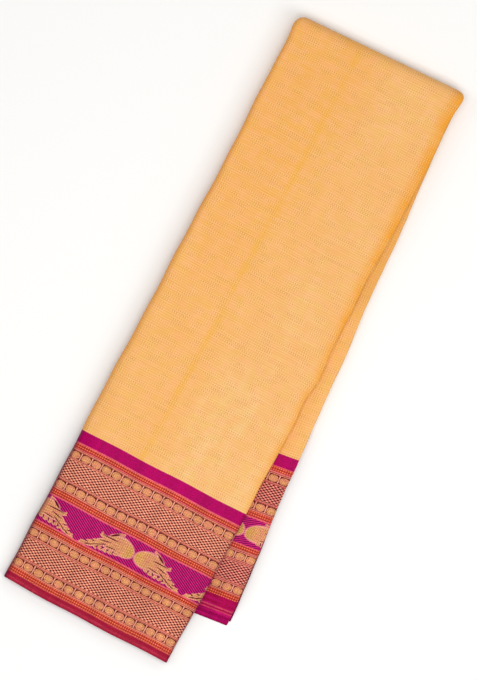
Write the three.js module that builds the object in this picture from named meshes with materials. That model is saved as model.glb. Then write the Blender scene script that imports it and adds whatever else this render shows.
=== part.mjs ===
// A silk sari folded for storage. The cloth is halved five times along its length, which gives
// 32 layers in a narrow packet, and the packet is then folded in half over its top edge.
// The front half lies on the back half. The fold is not quite square to the packet, so the back
// half turns out past the front one at the right, and is shorter than it at the bottom.
//
// All sizes are in millimetres. "Across" runs from the left edge of the packet to the right (+X),
// "along" from its top fold down to its borders (-Y), and "up" from the floor (+Z).
import * as THREE from 'three';

const HALF = 12; // height of one half of the packet: 32 layers of silk, lightly pressed
const WALL = 1; // a leaf that shows, as a wall
const GAP = 0.3; // clear between neighbouring pieces
const RETURN = 10; // how far the outer leaf turns back in behind a fold
const GROOVE = 7; // how deep the clefts between groups of folds run in from the right edge

// At the right edge the halved layers end in four groups of folds, from the outer face inwards.
// The thickest holds sixteen layers. The edges don't quite line up.
const GROUPS = [
  { thick: 6.0, inset: 0 },
  { thick: 3.0, inset: 1.2 },
  { thick: 1.6, inset: 0.5 },
  { thick: 1.4, inset: 0 },
];
const INNER_GROUP = GROUPS[GROUPS.length - 1];

// The edges of the front half, seen from above. Along is taken at the right edge, and slant is
// how much further down the same line of the weave lies at the left, for each millimetre across.
const FRONT_EDGES = [
  { along: 3.9, left: -3.9, right: 182.2, slant: 0.042 },
  { along: 18, left: -2.6, right: 180.5, slant: 0.038 },
  { along: 60, left: -2.3, right: 181.2, slant: 0.014 },
  { along: 180, left: -1.2, right: 182.0, slant: 0.002 },
  { along: 300, left: -1.1, right: 182.4, slant: 0 },
  { along: 467.5, left: -1.2, right: 183.8, slant: 0 },
  { along: 560, left: -0.9, right: 183.9, slant: 0.004 },
  { along: 635.8, left: -1.8, right: 182.8, slant: 0.01 },
];

// The edges of the back half, which turns away from the front one by about four degrees.
const BACK_EDGES = [
  { along: 3.9, left: -2.6, right: 180.8, slant: 0.042 },
  { along: 58, left: -1.0, right: 182.4, slant: 0.055 },
  { along: 128, left: 4.2, right: 187.6, slant: 0.072 },
  { along: 240, left: 11.3, right: 194.7, slant: 0.1 },
  { along: 360, left: 19.6, right: 203.0, slant: 0.135 },
  { along: 394.5, left: 21.9, right: 205.3, slant: 0.14 },
  { along: 461, left: 27.2, right: 210.6, slant: 0.13 },
  { along: 541.5, left: 34.1, right: 217.5, slant: 0.118 },
  { along: 575.1, left: 36.1, right: 219.5, slant: 0.115 },
];

// The same edges on the way over the top, by degrees of turn from the front half to the back one.
const CROWN_EDGES = [
  { turn: 0, left: -3.9, right: 182.2 },
  { turn: 30, left: -3.8, right: 182.8 },
  { turn: 60, left: -2.4, right: 181.4 },
  { turn: 90, left: -0.6, right: 179.6 },
  { turn: 120, left: -1.4, right: 180.0 },
  { turn: 180, left: -2.6, right: 180.8 },
];

const FRONT_BORDER = 467.5; // where the border of the front half starts
const FRONT_END = 635.8; // the selvedge at its bottom
const BACK_BORDER = 394.5; // where the border of the back half starts
const BACK_END = 575.1; // the selvedge of its top layer
const TURN_LENGTH = Math.PI * HALF; // what the outermost layer spends on going round the crown
const UNDER_BORDER = BACK_BORDER - TURN_LENGTH; // so its border starts that much sooner
const UNDER_END = BACK_END - TURN_LENGTH; // and so does its selvedge
const CORE_SHORT = 3; // the hidden layers stop this much before the back leaf does

const BAYS = 12; // straight bays across a leaf that sags
const FLAT_BAYS = 3; // and across one that lies flat
const SPINE_STEPS = 7; // facets round the wide left fold
const FOLD_STEPS = 5; // and round a narrow fold
const CROWN_STEPS = 9; // and over the top of the packet

const OVER_BACK = HALF + GAP; // height of the front half's underside where the back half carries it
const SIDE_SAG = { start: 2, length: 60 }; // how its left side sinks past the back half's left edge
const END_SAG = { start: 4, length: 70 }; // and its bottom past the back half's stepped selvedges
const BACK_TIP = 1.4; // height of the back half at its very end

const APRICOT_SILK = { color: 0xf3b468, roughness: 0.55, metalness: 0 };
const BORDER_SILK = { color: 0xb2344f, roughness: 0.5, metalness: 0.1 };

// ---- small helpers ----

// Reads every column of a table at a place between its rows.
function readRow(table, key, at) {
  const after = table.findIndex((row) => row[key] >= at);
  const high = after < 0 ? table.length - 1 : Math.max(after, 1);
  const [low, next] = [table[high - 1], table[high]];
  const share = THREE.MathUtils.clamp((at - low[key]) / (next[key] - low[key]), 0, 1);
  const mixed = Object.keys(low).map((name) => [name, THREE.MathUtils.lerp(low[name], next[name], share)]);
  return Object.fromEntries(mixed);
}

// Evenly spaced numbers from one to another, both included.
function spaced(from, to, bays) {
  return Array.from({ length: bays + 1 }, (_, i) => THREE.MathUtils.lerp(from, to, i / bays));
}

// A fold seen from its end: points round a centre, between two angles in degrees.
function roundFold(across, up, radius, from, to, steps) {
  const point = (degrees) => {
    const angle = THREE.MathUtils.degToRad(degrees);
    return new THREE.Vector2(across + radius * Math.cos(angle), up + radius * Math.sin(angle));
  };
  return spaced(from, to, steps).map(point);
}

// ---- sections across the packet ----
// Every section is drawn with its shown face up, at height HALF, and its inner face at 0.

// The line that the outer leaf follows, this far in from its face: in under the left fold,
// round it, over the top, round the top group of folds and back in under that.
function leafLine(edges, depth, bays) {
  const spine = HALF / 2;
  const fold = GROUPS[0].thick / 2;
  const start = edges.left + spine;
  const end = edges.right - fold;
  const across = spaced(start, end, bays).slice(1, -1);
  return [
    new THREE.Vector2(start + RETURN, depth),
    ...roundFold(start, spine, spine - depth, -90, -270, SPINE_STEPS),
    ...across.map((x) => new THREE.Vector2(x, HALF - depth)),
    ...roundFold(end, HALF - fold, fold - depth, 90, -90, FOLD_STEPS),
    new THREE.Vector2(end - RETURN, HALF - 2 * fold + depth),
  ];
}

// The outer leaf: a wall round the left fold, the face and the top group of folds.
function leafSection(edges, bays) {
  return [...leafLine(edges, 0, bays), ...leafLine(edges, WALL, bays).reverse()];
}

// The hidden layers as one rounded solid inside that leaf, with a cleft between each two groups
// of folds. Depth is how far the solid lies in from the outer face, and groups are the ones it holds.
function coreSection(edges, depth, groups, bays) {
  const line = leafLine(edges, depth, bays).slice(1, -1);
  const slot = edges.right - GROUPS[0].thick / 2 - RETURN - GAP;
  const seam = edges.left + HALF / 2 + RETURN + (depth > 0 ? GAP : 0);
  const points = [...line];
  let top = HALF - groups[0].thick;
  points.push(new THREE.Vector2(slot, top + depth), new THREE.Vector2(slot, top - GAP));
  groups.slice(1).forEach((group, i) => {
    const last = i === groups.length - 2;
    const high = top - (i === 0 ? GAP : GAP / 2);
    const low = top - group.thick + (last && groups === GROUPS ? 0 : GAP / 2);
    const radius = (high - low) / 2;
    const tip = edges.right - group.inset - radius;
    points.push(...roundFold(tip, low + radius, radius, 90, -90, FOLD_STEPS));
    top -= group.thick;
    if (!last) {
      const cleft = edges.right - GROOVE;
      points.push(new THREE.Vector2(cleft, low), new THREE.Vector2(cleft, top - GAP / 2));
    }
  });
  const floor = points[points.length - 1].y;
  const under = line.slice(SPINE_STEPS + 1, SPINE_STEPS + bays).map((point) => point.x);
  const shared = under.filter((x) => x > seam + GAP && x < slot).reverse();
  points.push(...shared.map((x) => new THREE.Vector2(x, floor)));
  points.push(new THREE.Vector2(seam, floor), new THREE.Vector2(seam, depth));
  return points;
}

// The innermost group of folds of the back half, flat under its neighbour: one leaf with a round edge.
function innerLeafSection(edges) {
  const thick = INNER_GROUP.thick - GAP / 2;
  const seam = edges.left + HALF / 2 + RETURN + GAP;
  const tip = edges.right - INNER_GROUP.inset - thick / 2;
  return [
    new THREE.Vector2(seam, 0),
    new THREE.Vector2(seam, thick),
    ...roundFold(tip, thick / 2, thick / 2, 90, -90, FOLD_STEPS),
  ];
}

// ---- solids carried through those sections ----

// A closed solid through rings of equally many points. The sections are the same rings drawn flat.
// Each four-cornered face is split the same way as seen from above, so that two faces with one
// above the other stay apart.
function loft(rings, sections) {
  const count = rings[0].length;
  const index = [];
  rings.slice(1).forEach((ring, i) => {
    ring.forEach((corner, j) => {
      const k = (j + 1) % count;
      const [from, to] = [sections[i][j], sections[i][k]];
      const forwards = from.x < to.x || (from.x === to.x && from.y < to.y);
      const [a, b] = [i * count + j, i * count + k];
      const [c, d] = [a + count, b + count];
      index.push(...(forwards ? [a, b, d, a, d, c] : [a, b, c, b, d, c]));
    });
  });
  const closeEnd = (section, offset, reverse) => {
    const turns = Math.sign(THREE.ShapeUtils.area(section));
    THREE.ShapeUtils.triangulateShape(section, []).forEach((corners) => {
      const same = Math.sign(THREE.ShapeUtils.area(corners.map((c) => section[c]))) === turns;
      const ordered = same === reverse ? [...corners].reverse() : corners;
      index.push(...ordered.map((c) => c + offset));
    });
  };
  closeEnd(sections[0], 0, true);
  closeEnd(sections[sections.length - 1], (rings.length - 1) * count, false);
  const geometry = new THREE.BufferGeometry().setFromPoints(rings.flat());
  geometry.setIndex(signedVolume(rings.flat(), index) < 0 ? index.reverse() : index);
  return geometry;
}

// Six times the volume inside the triangles, negative if their faces point in.
function signedVolume(points, index) {
  let total = 0;
  for (let i = 0; i < index.length; i += 3) {
    const [a, b, c] = [points[index[i]], points[index[i + 1]], points[index[i + 2]]];
    total += a.dot(new THREE.Vector3().crossVectors(b, c));
  }
  return total;
}

// How far along the packet a line of the weave lies, at this place across.
function alongAt(edges, across) {
  return edges.along + edges.slant * (edges.right - across);
}

// Height of the front half's underside. The back half carries it, and past the back half's
// left edge and stepped bottom edge it sinks to the floor.
function frontUnderside(across, along) {
  const leftEdge = BACK_EDGES.map((row) => ({ along: alongAt(row, row.left), left: row.left }));
  const past = readRow(leftEdge, 'along', along).left - SIDE_SAG.start - across;
  const end = BACK_EDGES[BACK_EDGES.length - 1];
  const beyond = along - (alongAt(end, across) - TURN_LENGTH + END_SAG.start);
  const side = 1 - THREE.MathUtils.smoothstep(past, 0, SIDE_SAG.length);
  const bottom = 1 - THREE.MathUtils.smoothstep(beyond, 0, END_SAG.length);
  return OVER_BACK * side * bottom;
}

// Height of the back half. It falls away where its layers end one after another.
function backHeight(along) {
  const share = THREE.MathUtils.clamp((along - UNDER_END) / TURN_LENGTH, 0, 1);
  return THREE.MathUtils.lerp(HALF, BACK_TIP, share);
}

// A solid along the packet: at each stop the section is drawn between the edges there, and
// every point of it is placed by its half of the packet.
function alongPacket(table, stops, section, place) {
  const rows = stops.map((along) => readRow(table, 'along', along));
  const rings = rows.map((row) => section(row).map((point) => place(point, row)));
  const sections = rings.map((ring) => ring.map((corner) => new THREE.Vector2(corner.x, corner.z)));
  return loft(rings, sections);
}

// Places a point of the front half.
function onFront(point, row) {
  const along = alongAt(row, point.x);
  return new THREE.Vector3(point.x, -along, frontUnderside(point.x, along) + point.y);
}

// Places a point of the back half's leaves, which keep their thickness to their end. The back
// half lies face down, so its section is turned over.
function onBack(point, row) {
  return new THREE.Vector3(point.x, -alongAt(row, point.x), backHeight(row.along) - point.y);
}

// Places a point of the back half's hidden layers, which thin out under the back leaf.
function inBack(point, row) {
  const inner = INNER_GROUP.thick + GAP / 2;
  const thinned = (backHeight(row.along) - inner) / (HALF - inner);
  return new THREE.Vector3(point.x, -alongAt(row, point.x), (HALF - point.y) * thinned);
}

// A solid over the top of the packet: the section turns about a line between the two halves.
// The outermost layer is pulled in at its corners, and the innermost one goes straight round.
function overCrown(section) {
  const axis = FRONT_EDGES[0];
  const straight = [CROWN_EDGES[0], CROWN_EDGES[CROWN_EDGES.length - 1]];
  const turns = spaced(0, 180, CROWN_STEPS);
  const sections = turns.map((turn) => section(readRow(straight, 'turn', turn)));
  const rings = sections.map((points, i) => {
    const angle = THREE.MathUtils.degToRad(turns[i]);
    const inside = readRow(straight, 'turn', turns[i]);
    const outside = readRow(CROWN_EDGES, 'turn', turns[i]);
    return points.map((point) => {
      const radius = point.y + GAP / 2;
      const share = THREE.MathUtils.inverseLerp(inside.left, inside.right, point.x);
      const pulled = THREE.MathUtils.lerp(outside.left, outside.right, share);
      const across = THREE.MathUtils.lerp(point.x, pulled, radius / (HALF + GAP / 2));
      const along = alongAt(axis, across) - radius * Math.sin(angle);
      return new THREE.Vector3(across, -along, HALF + GAP / 2 + radius * Math.cos(angle));
    });
  });
  return loft(rings, sections);
}

// ---- the pieces ----

const packet = new THREE.Group();

function addPiece(name, geometry, finish) {
  const mesh = new THREE.Mesh(geometry, new THREE.MeshStandardMaterial(finish));
  mesh.name = name;
  packet.add(mesh);
}

// The stops of each stretch along the packet. A ground piece ends and a border piece starts half
// a gap from the line where they meet, and the under leaf ends a gap before the others step down.
const halfGap = GAP / 2;
const frontTop = FRONT_EDGES[0].along + GAP;
const frontGround = [frontTop, 18, 60, ...spaced(120, 415, 5), FRONT_BORDER - halfGap];
const frontBorder = [FRONT_BORDER + halfGap, ...spaced(485, 620, 9), FRONT_END];
const backTop = BACK_EDGES[0].along + GAP;
const backGround = [backTop, 58, 128, 240, 360, BACK_BORDER - halfGap];
const backBorder = [BACK_BORDER + halfGap, 461, UNDER_END];
const steppedEnd = [UNDER_END + GAP, ...spaced(548, 566, 2)];
const underGround = [backTop, 58, 128, 240, UNDER_BORDER - halfGap];
const underBorder = [UNDER_BORDER + halfGap, 360, BACK_BORDER, 461, UNDER_END - GAP];

const frontLeaf = (row) => leafSection(row, BAYS);
const frontCore = (row) => coreSection(row, WALL + GAP, GROUPS, BAYS);
const underLeaf = (row) => leafSection(row, FLAT_BAYS);
const backGroups = GROUPS.slice(0, -1);
const insideUnderLeaf = (row) => coreSection(row, WALL + GAP, backGroups, FLAT_BAYS);
const pastUnderLeaf = (row) => coreSection(row, 0, backGroups, FLAT_BAYS);
const backCore = (row) => (row.along > UNDER_END ? pastUnderLeaf(row) : insideUnderLeaf(row));

// The layer that shows on the front half.
addPiece('front_leaf_ground', alongPacket(FRONT_EDGES, frontGround, frontLeaf, onFront), APRICOT_SILK);
addPiece('front_leaf_border', alongPacket(FRONT_EDGES, frontBorder, frontLeaf, onFront), BORDER_SILK);

// The layers inside it.
addPiece('front_core_ground', alongPacket(FRONT_EDGES, frontGround, frontCore, onFront), APRICOT_SILK);
addPiece('front_core_border', alongPacket(FRONT_EDGES, frontBorder, frontCore, onFront), BORDER_SILK);

// The same layers where they turn over the top of the packet.
addPiece('crown_leaf', overCrown((row) => leafSection(row, FLAT_BAYS)), APRICOT_SILK);
const crownCore = (row) => coreSection(row, WALL + GAP, GROUPS, FLAT_BAYS);
addPiece('crown_core', overCrown(crownCore), APRICOT_SILK);

// The layer of the back half that shows beside the front half.
const backLeafStops = [...backBorder, ...steppedEnd, BACK_END];
addPiece('back_leaf_ground', alongPacket(BACK_EDGES, backGround, innerLeafSection, onBack), APRICOT_SILK);
addPiece('back_leaf_border', alongPacket(BACK_EDGES, backLeafStops, innerLeafSection, onBack), BORDER_SILK);

// The layers inside the back half.
const backCoreStops = [...backBorder, ...steppedEnd, BACK_END - CORE_SHORT];
addPiece('back_core_ground', alongPacket(BACK_EDGES, backGround, backCore, inBack), APRICOT_SILK);
addPiece('back_core_border', alongPacket(BACK_EDGES, backCoreStops, backCore, inBack), BORDER_SILK);

// The outermost layer, which the packet lies on.
addPiece('under_leaf_ground', alongPacket(BACK_EDGES, underGround, underLeaf, onBack), APRICOT_SILK);
addPiece('under_leaf_border', alongPacket(BACK_EDGES, underBorder, underLeaf, onBack), BORDER_SILK);

// The origin is on the floor, under the middle of the whole packet.
const box = new THREE.Box3().setFromObject(packet);
const centre = box.getCenter(new THREE.Vector3());
packet.position.set(-centre.x, -centre.y, -box.min.z);
packet.updateMatrixWorld(true);

export default packet;
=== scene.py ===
# %% [markdown]
# # A silk sari, folded for storage
#
# A sari is one unsewn length of cloth, here about 5.9 m long and 1.2 m wide, with a brocaded
# border woven along both selvedges. It is halved five times along its length into a long packet
# of 32 layers, and the packet is folded in half over its top. This lesson turns the plain solids
# of that packet into silk: every shown layer becomes a thin sheet with its own folds, and the
# weave follows the cloth round each of them.
#
# The frame holds the solids at their real size. Nothing here moves or resizes them: each new
# sheet stands for one solid and lies where it lies.

# %% Load the frame
import math

import bpy
import numpy as np
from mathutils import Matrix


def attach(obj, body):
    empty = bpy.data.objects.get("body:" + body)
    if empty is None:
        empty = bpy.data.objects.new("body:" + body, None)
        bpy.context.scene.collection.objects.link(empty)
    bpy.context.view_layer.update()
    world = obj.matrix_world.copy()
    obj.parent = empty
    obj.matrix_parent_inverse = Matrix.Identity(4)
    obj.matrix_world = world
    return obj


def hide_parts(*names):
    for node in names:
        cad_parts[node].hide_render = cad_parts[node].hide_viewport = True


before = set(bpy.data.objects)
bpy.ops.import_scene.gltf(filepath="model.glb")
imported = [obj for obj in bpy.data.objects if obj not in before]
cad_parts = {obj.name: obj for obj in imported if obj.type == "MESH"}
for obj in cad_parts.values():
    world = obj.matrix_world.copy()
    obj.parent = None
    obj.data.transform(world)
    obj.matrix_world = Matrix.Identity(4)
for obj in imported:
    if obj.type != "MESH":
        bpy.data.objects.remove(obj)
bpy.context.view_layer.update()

# %% [markdown]
# ## Sizes
#
# Everything is worked out in millimetres in the packet's own terms, as a folder would name them:
# *across* runs from its left edge to its right one, *along* from its top fold down to the
# borders, and *up* from the floor. The edges of both halves are short tables. The front half is
# nearly square. The back half turns out past it by about four degrees, and its lines of weave
# slant with it.

# %% Sizes of the packet
HALF = 12.0  # height of one half of the packet
SHEETS = 16  # sheets drawn in each half, each for two layers of silk
THICK = 0.5  # one sheet
WIDTH = 183.0  # of the packet, which is also the length of sari from fold to fold
SPINE = HALF / 2  # the left fold turns about a line this far in from the edge
TUCK = 12.0  # how far a shown sheet runs in behind its folds
FLOOR_GAP = 0.3  # the floor lies this far under the lowest layer

MIDDLE_ACROSS, MIDDLE_ALONG = 107.86, 314.893  # the frame's origin, in the packet's terms

# along, left edge, right edge, slant of the weave, how far the middle of a row hangs down, and how
# far the row as a whole has ridden up
FRONT_EDGES = np.array([
    (3.9, -3.9, 182.2, 0.042, 0.0, 0.0),
    (18.0, -2.6, 180.8, 0.038, 0.0, 0.0),
    (60.0, -2.3, 181.8, 0.014, 0.0, 0.0),
    (180.0, -0.8, 182.3, 0.002, 0.0, 0.0),
    (200.0, -0.7, 181.8, 0.002, 0.0, 0.0),
    (243.0, -0.7, 183.1, 0.003, 0.0, 0.1),
    (268.0, -0.8, 183.1, 0.005, 0.0, 0.1),
    (290.0, -0.8, 184.0, 0.006, 0.0, 0.2),
    (312.0, -0.8, 185.6, 0.007, 0.0, 0.3),
    (343.0, -0.8, 183.2, 0.01, 0.1, 0.5),
    (358.0, -0.8, 184.7, 0.011, 0.2, 0.7),
    (400.0, -0.9, 184.5, 0.015, 0.3, 1.1),
    (430.0, -0.9, 184.4, 0.015, 0.3, 1.2),
    (467.5, -0.8, 184.6, 0.008, 0.0, 0.6),
    (490.0, -0.7, 184.5, 0.0, -0.3, -0.1),
    (560.0, -0.4, 184.7, 0.002, 0.2, 0.1),
    (635.8, -0.9, 183.9, 0.0, 1.1, 0.0),
])
# the same for the back half, whose rows hang straight
BACK_EDGES = np.array([
    (3.9, -2.6, 180.8, 0.042),
    (58.0, -1.0, 182.4, 0.055),
    (128.0, 4.2, 187.6, 0.072),
    (205.0, 9.1, 192.4, 0.091),
    (235.0, 11.0, 194.1, 0.099),
    (252.0, 12.1, 196.0, 0.104),
    (284.0, 14.3, 199.1, 0.114),
    (304.0, 15.7, 199.4, 0.12),
    (360.0, 19.6, 203.4, 0.135),
    (394.5, 21.9, 206.0, 0.14),
    (430.0, 24.6, 208.6, 0.136),
    (461.0, 27.2, 211.2, 0.13),
    (541.5, 34.1, 217.5, 0.118),
    (575.1, 36.1, 219.5, 0.115),
])
# degrees of turn over the top, left edge, right edge
CROWN_EDGES = np.array([
    (0.0, -3.9, 182.2),
    (30.0, -3.8, 182.8),
    (60.0, -2.4, 181.4),
    (90.0, -0.6, 179.6),
    (120.0, -1.4, 180.0),
    (180.0, -2.6, 180.8),
])

TOP = 3.9  # where the packet starts to turn over
FRONT_BORDER, FRONT_END = 467.5, 635.8  # start of the front half's border, and its selvedge
BACK_BORDER, BACK_END = 394.5, 575.1  # the same on the back half's top layer
TURN_LENGTH = math.pi * HALF  # what the outermost layer spends on going over the top
print("cloth across the sari: %.0f mm" % (FRONT_END + BACK_END - 2 * TOP))

# %% [markdown]
# ## Camera
#
# The packet is seen from straight above, turned by about 28 degrees, from far enough away that
# both halves look nearly the same size.

# %% Camera
EYE_HEIGHT = 6.0  # metres above the packet
VIEW_LONG_SIDE = 0.681  # metres of packet that the picture's long side takes in
VIEW_TURN = 27.95  # degrees
VIEW_ACROSS, VIEW_ALONG = 96.1, 316.7  # the middle of the picture, mm

camera = bpy.data.objects.new("camera", bpy.data.cameras.new("camera"))
camera.data.sensor_width = 36.0
camera.data.lens = camera.data.sensor_width * EYE_HEIGHT / VIEW_LONG_SIDE
camera.location = (
    (VIEW_ACROSS - MIDDLE_ACROSS) / 1000,
    (MIDDLE_ALONG - VIEW_ALONG) / 1000,
    EYE_HEIGHT + 2 * HALF / 1000,
)
camera.rotation_euler = (0.0, 0.0, math.radians(VIEW_TURN))
bpy.context.scene.collection.objects.link(camera)
bpy.context.scene.camera = camera
print("lens %.1f mm" % camera.data.lens)

# %% [markdown]
# ## How the cloth folds
#
# Halving a cloth again and again gives an order that any folder can check with a strip of paper.
# At the left every layer turns round one shared spine, so the first joins the last. At the right
# there are groups of nested folds, and the two ends of the sari. Walking through all of them in
# turn gives one unbroken line, which is why the same pattern can run on round every fold.
#
# That line is the profile of the packet. Each point of it holds which edge it hangs on (0 is
# left, 1 is right), how far it lies from that edge, its height in its half, and the right fold that
# it moves with. A profile doesn't know how wide the packet is at any place, so one serves for all.

# %% Layers and their folds
LEFT, RIGHT = 0.0, 1.0

# Folds at the right: their layers, how far the fold stands out from where it starts to turn, and
# how far its tip stays behind the packet's edge. One layer by itself is an end of the sari.
RIGHT_FOLDS = {
    (1, 8): (5.9, 0.25),
    (2, 7): (4.3, 1.9),
    (3, 6): (2.7, 3.4),
    (4, 5): (1.2, 4.8),
    (9, 12): (2.4, 1.5),
    (10, 11): (1.0, 3.0),
    (13,): (0.0, 0.9),
    (14,): (0.0, 0.4),
    (15, 16): (0.9, 0.3),
}
FOLD_OF = {layer: number for number, fold in enumerate(RIGHT_FOLDS) for layer in fold}


def height_of(layer):
    """Height of a layer's middle in its half: the layers are spread evenly from the face down."""
    return HALF - THICK / 2 - (layer - 1) * (HALF - THICK) / (SHEETS - 1)


def right_end(layer):
    """Where a layer starts to turn at the right, as its distance from the edge."""
    return sum(list(RIGHT_FOLDS.values())[FOLD_OF[layer]])


print("sheets lie %.2f mm apart, middle to middle" % (height_of(1) - height_of(2)))


# %% Runs and turns
def run(layer, start, end, shares):
    """A straight run of one layer: the edge it hangs on and its distance from that edge change
    evenly from start to end, at these shares of the way, and its height stays the same."""
    places = np.outer(1 - shares, start) + np.outer(shares, end)
    same = np.ones(len(shares))
    return np.column_stack([places, same * height_of(layer), same * FOLD_OF[layer]])


def turn(side, first, last, facets):
    """A fold: half an ellipse from one layer's height to another's. Its height is the mean of
    the two plus half their difference times the cosine of the turn, and it stands out past the
    place where it starts by its reach times the sine."""
    angle = np.linspace(0, np.pi, facets + 1)[1:-1]
    middle = (height_of(first) + height_of(last)) / 2
    radius = (height_of(first) - height_of(last)) / 2
    if side == LEFT:
        from_edge = SPINE - abs(radius) * np.sin(angle)
    else:
        reach, behind = RIGHT_FOLDS[tuple(sorted((first, last)))]
        from_edge = -(reach + behind) + reach * np.sin(angle)
    same = np.ones(len(angle))
    up = middle + radius * np.cos(angle)
    return np.column_stack([same * side, from_edge, up, same * FOLD_OF[first]])


def left_place(tuck=0.0):
    """Where any layer meets the left fold, or further in by the tuck."""
    return (LEFT, SPINE + tuck)


def right_place(layer, tuck=0.0):
    """Where a layer meets its right fold, or further in by the tuck."""
    return (RIGHT, -right_end(layer) - tuck)


EVEN = np.linspace(0, 1, 91)  # bays of a sheet that shows
NEAR_LEFT = np.append(np.linspace(0, 0.22, 9), np.linspace(0.22, 1, 9)[1:])  # of a hidden one
ENDS = np.array([0.0, 1.0])
print("heights through the outermost right fold:", np.round(turn(RIGHT, 1, 8, 6)[:, 2], 1).tolist())


# %% The leaves and the hidden layers
def zigzag(layers, to_right, facets):
    """The hidden layers, walked through in this order: each is run from side to side, and a turn
    joins it to the next."""
    parts = []
    for layer, after in zip(layers, [*layers[1:], None]):
        shares = NEAR_LEFT if to_right else 1 - NEAR_LEFT[::-1]
        places = left_place(), right_place(layer)
        start, end = places if to_right else places[::-1]
        parts.append(run(layer, start, end, shares))
        if after is not None:
            parts.append(turn(RIGHT if to_right else LEFT, layer, after, facets))
        to_right = not to_right
    return np.vstack(parts)


# The outer leaf: in under the right fold, round it, over the face, round the spine and in again.
outer_leaf = np.vstack([
    run(8, right_place(8, TUCK), right_place(8), ENDS),
    turn(RIGHT, 8, 1, 18),
    run(1, right_place(1), left_place(), EVEN),
    turn(LEFT, 1, 16, 18),
    run(16, left_place(), left_place(TUCK), ENDS),
])
# The inner leaf, which shows where the back half turns out past the front one.
inner_leaf = np.vstack([
    run(16, left_place(TUCK), right_place(16), EVEN),
    turn(RIGHT, 16, 15, 8),
    run(15, right_place(15), right_place(15, TUCK), ENDS),
])
before_outer = zigzag([13, 4, 5, 12, 9, 8], False, 8)
before_outer[-1, :2] = right_place(8, TUCK)
after_outer = zigzag([16, 15, 2, 7, 10, 11, 6, 3, 14], True, 8)
after_outer[0, :2] = left_place(TUCK)
after_inner = zigzag([15, 2, 7, 10, 11, 6, 3, 14], False, 8)
after_inner[0, :2] = right_place(15, TUCK)


def length_along(profile):
    """How much cloth the profile has taken at each of its points: the sum of the distances
    between them, in a packet of the usual width."""
    across = profile[:, 0] * WIDTH + profile[:, 1]
    steps = np.hypot(np.diff(across), np.diff(profile[:, 2]))
    return np.append(0, np.cumsum(steps))


whole = sum(length_along(p)[-1] for p in (before_outer, outer_leaf, after_outer))
print("the drawn sheets take %.2f m of cloth, the sari twice that" % (whole / 1000))

# %% [markdown]
# ## Where the profile lies
#
# Three rules carry the profile through the packet. On the front half it lies face up, and past
# the back half's left and bottom edges it sinks to the floor, because nothing carries it there.
# Over the top it turns about a line between the two halves, each layer on its own radius. On the
# back half it lies face down. An outer layer has spent more cloth on the way over the top than
# an inner one, so it ends sooner, and the back half steps down layer by layer.
#
# No fold in cloth is dead straight, so the edges ripple and every right fold wanders by a fraction
# of a millimetre, from seeded waves. The faces aren't flat either. The main creases are a table of
# soft troughs and ridges, each a line with a width and a height: the longest is the mark of a
# hidden selvedge that the top layers have been pressed over.

# %% Edges and sag
def read_edges(table, stop):
    """The columns of a table at any stop, by a cubic between each two rows. Its slope at a row
    is that of the rows round it, so that an edge runs on without a kink."""
    knots, values = table[:, 0], table[:, 1:]
    slopes = np.gradient(values, knots, axis=0)
    row = np.clip(np.searchsorted(knots, stop) - 1, 0, len(knots) - 2)
    bay = (knots[row + 1] - knots[row])[..., None]
    h = np.clip((stop - knots[row]) / bay[..., 0], 0, 1)[..., None]
    mixed = (
        (2 * h**3 - 3 * h**2 + 1) * values[row]
        + (h**3 - 2 * h**2 + h) * bay * slopes[row]
        + (3 * h**2 - 2 * h**3) * values[row + 1]
        + (h**3 - h**2) * bay * slopes[row + 1]
    )
    return np.moveaxis(mixed, -1, 0)


def smooth(share):
    """Rises softly from 0 to 1 as the share does."""
    share = np.clip(share, 0, 1)
    return share**2 * (3 - 2 * share)


SIDE_SAG = 2.0, 60.0  # where the front half starts to sink past the back one's edge, and how far
END_SAG = 4.0, 70.0  # the same past the stepped end
BETWEEN = 0.3  # from the back half up to the front half


def front_underside(across, along):
    """Height of the front half's underside: the back half's, times how little the place lies
    past the back half's left edge, times the same for its bottom edge."""
    low_at = BACK_EDGES[:, 0] + BACK_EDGES[:, 3] * (BACK_EDGES[:, 2] - BACK_EDGES[:, 1])
    past = np.interp(along, low_at, BACK_EDGES[:, 1]) - SIDE_SAG[0] - across
    end = BACK_EDGES[-1]
    bottom = end[0] + end[3] * (end[2] - across) - TURN_LENGTH + END_SAG[0]
    beyond = (along - bottom) / END_SAG[1]
    return (HALF + BETWEEN) * (1 - smooth(past / SIDE_SAG[1])) * (1 - smooth(beyond))


print("the front half's underside is %.1f mm up at its top and %.1f mm at its bottom left corner"
      % (front_underside(WIDTH / 2, TOP), front_underside(0.0, FRONT_END)))

# %% Ripples, wander and creases
chance = np.random.default_rng(12)
STARTS = chance.uniform(0, 2 * np.pi, (len(RIGHT_FOLDS), 3))
WAVES = np.array([[210.0, 0.35], [83.0, 0.22], [31.0, 0.1]])  # length and height, mm
# The outermost folds keep the packet's edge, and the hidden ones stay behind it.
INWARD = np.array([fold not in ((1, 8), (15, 16)) for fold in RIGHT_FOLDS], float)
# Waves of the left edge: height and length over 2 pi, mm, and start.
RIPPLES = [(0.3, 9.5, 1.0), (0.35, 27.0, 2.0)]
SETTLED_IN = 40.0  # mm below the top fold


def settled(along):
    """0 at the top fold and 1 from a little below it, so that nothing shifts where the halves join."""
    return smooth((along - TOP) / SETTLED_IN)


def wander(profile, along):
    """How far each point moves in from the right: the sum of three waves along the fold that it
    moves with, each starting where chance has it."""
    fold = profile[:, 3].astype(int)
    turns = 2 * np.pi * along[..., None] / WAVES[:, 0] + STARTS[fold]
    waves = np.sum(WAVES[:, 1] * (INWARD[fold][:, None] + np.sin(turns)), axis=-1)
    return profile[:, 0] * waves


def ripple(along):
    """How far the left edge ripples: the sum of two waves, which start below the top fold."""
    return settled(along) * sum(high * np.sin(along / long + start) for high, long, start in RIPPLES)


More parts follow.
